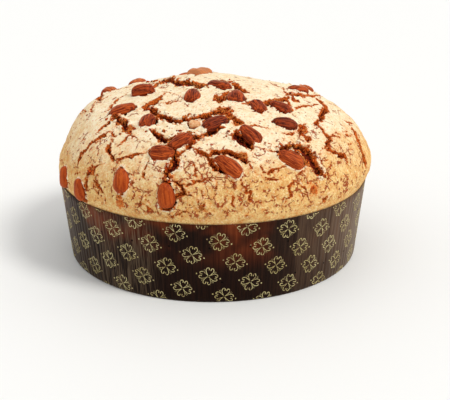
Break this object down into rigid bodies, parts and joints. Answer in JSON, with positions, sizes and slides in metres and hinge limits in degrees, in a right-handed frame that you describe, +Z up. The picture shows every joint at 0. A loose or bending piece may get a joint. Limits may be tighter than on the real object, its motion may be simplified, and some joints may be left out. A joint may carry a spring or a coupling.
{
  "type": "panettone",
  "caption": "Low round festive loaf in a printed paper baking case, its dome covered by cracked almond icing with whole almonds set in it.",
  "frame": {"origin": "middle of the flat underside of the paper case", "axes": "+Z up through the top of the dome, -Y towards the viewer of the picture, +X to the viewer's right"},
  "size_m": [0.2212, 0.2199, 0.124],
  "materials": {
    "brown_paper": "satin dark brown baking paper with a pale gold print",
    "baked_crumb": null,
    "baked_icing": null,
    "almond_skin": null,
    "blanched_almond": null
  },
  "bodies": {
    "root": {"paper_case": "brown_paper", "loaf": "baked_crumb", "icing": "baked_icing", "almond_01": "almond_skin", "almond_02": "almond_skin", "almond_03": "almond_skin", "almond_04": "almond_skin", "almond_05": "almond_skin", "almond_06": "almond_skin", "almond_07": "almond_skin", "almond_08": "almond_skin", "almond_09": "almond_skin", "almond_10": "almond_skin", "almond_11": "almond_skin", "almond_12": "almond_skin", "almond_13": "almond_skin", "almond_14": "almond_skin", "almond_15": "almond_skin", "almond_16": "almond_skin", "almond_17": "almond_skin", "almond_18": "almond_skin", "almond_19": "almond_skin", "almond_20": "almond_skin", "almond_21": "almond_skin", "almond_22": "blanched_almond", "almond_23": "almond_skin", "almond_24": "almond_skin", "almond_25": "almond_skin", "almond_26": "almond_skin", "almond_27": "almond_skin", "almond_28": "almond_skin", "almond_29": "almond_skin", "almond_30": "almond_skin", "almond_31": "almond_skin", "almond_32": "almond_skin", "almond_33": "almond_skin", "almond_34": "almond_skin"}
  },
  "joints": []
}
